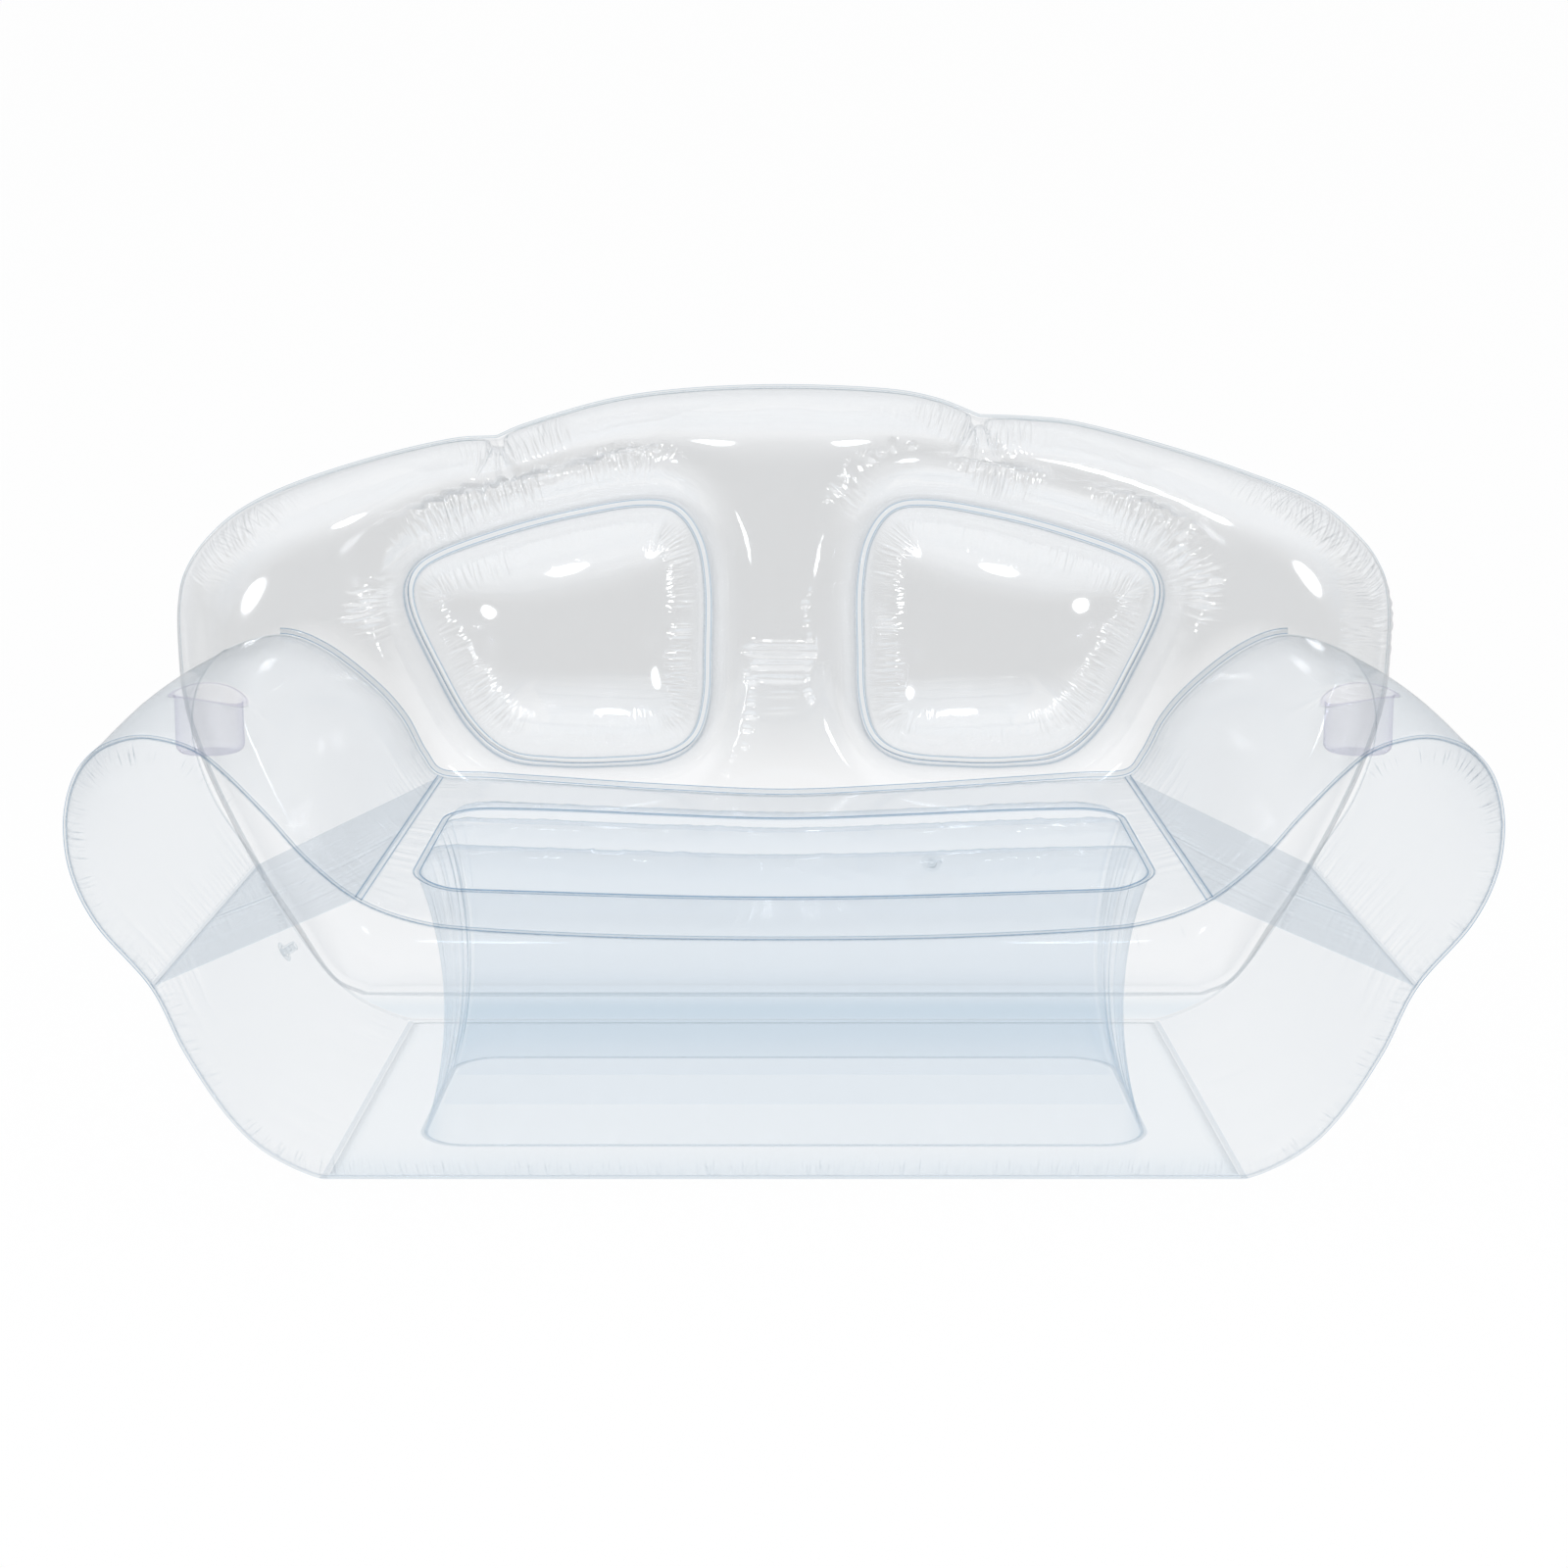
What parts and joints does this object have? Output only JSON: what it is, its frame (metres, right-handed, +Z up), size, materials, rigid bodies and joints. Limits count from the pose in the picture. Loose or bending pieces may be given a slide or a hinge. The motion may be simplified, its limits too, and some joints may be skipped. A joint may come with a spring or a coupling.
{
  "type": "inflatable sofa",
  "caption": "Wide inflatable sofa in clear film, with rounded arms that hold cups, a channelled seat insert and an arched backrest with welded-in pillows.",
  "frame": {"origin": "on the floor under the middle of the bounding box", "axes": "+X along the width, to the right as seen from the front; +Y to the back; +Z up"},
  "size_m": [1.6345, 0.8476, 0.8406],
  "materials": {
    "cool_film": "clear glossy film with a faint cool tint",
    "blue_film": "clear glossy film with a pale blue tint",
    "grey_film": "clear glossy film, neutral grey",
    "lilac_film": "clear glossy film with a lilac tint",
    "blue_weld": "double thickness of welded film, blue grey",
    "grey_weld": "double thickness of welded film, grey",
    "valve_plastic": "soft moulded clear plastic"
  },
  "bodies": {
    "root": {"front_panel": "cool_film", "rear_panel": "cool_film", "front_seam": "blue_weld", "rear_seam": "blue_weld", "seat_film": "cool_film", "seat_ring_weld": "blue_weld", "seat_insert": "blue_film", "seat_baffle": "blue_film", "front_rib_web": "blue_film", "rear_rib_web": "blue_film", "floor_film": "blue_film", "floor_ring_weld": "blue_weld", "left_arm_film": "cool_film", "right_arm_film": "cool_film", "left_side_film": "cool_film", "right_side_film": "cool_film", "left_crease_weld": "blue_weld", "right_crease_weld": "blue_weld", "left_waist_weld": "blue_weld", "right_waist_weld": "blue_weld", "left_floor_weld": "blue_weld", "right_floor_weld": "blue_weld", "left_arm_web": "grey_film", "right_arm_web": "grey_film", "left_cup_well": "lilac_film", "right_cup_well": "lilac_film", "left_cup_rim_weld": "lilac_film", "right_cup_rim_weld": "lilac_film", "backrest_front_film": "grey_film", "backrest_rear_film": "grey_film", "backrest_seam": "grey_weld", "backrest_weld": "blue_weld", "left_pillow_front": "grey_film", "right_pillow_front": "grey_film", "left_pillow_rear": "grey_film", "right_pillow_rear": "grey_film", "left_pillow_ring_weld": "blue_weld", "right_pillow_ring_weld": "blue_weld", "backrest_valve_body": "valve_plastic", "base_valve_body": "valve_plastic"},
    "backrest_stopper": {"backrest_valve_stopper": "valve_plastic", "backrest_valve_strap": "valve_plastic"},
    "base_stopper": {"base_valve_stopper": "valve_plastic", "base_valve_strap": "valve_plastic"}
  },
  "joints": [
    {"name": "backrest_stopper_pull", "type": "slide", "parent": "root", "child": "backrest_stopper", "axis": [0, 1, 0], "range_m": [0, 0.012]},
    {"name": "base_stopper_pull", "type": "slide", "parent": "root", "child": "base_stopper", "axis": [-0.8525, -0.0019, -0.5227], "range_m": [0, 0.012]}
  ]
}
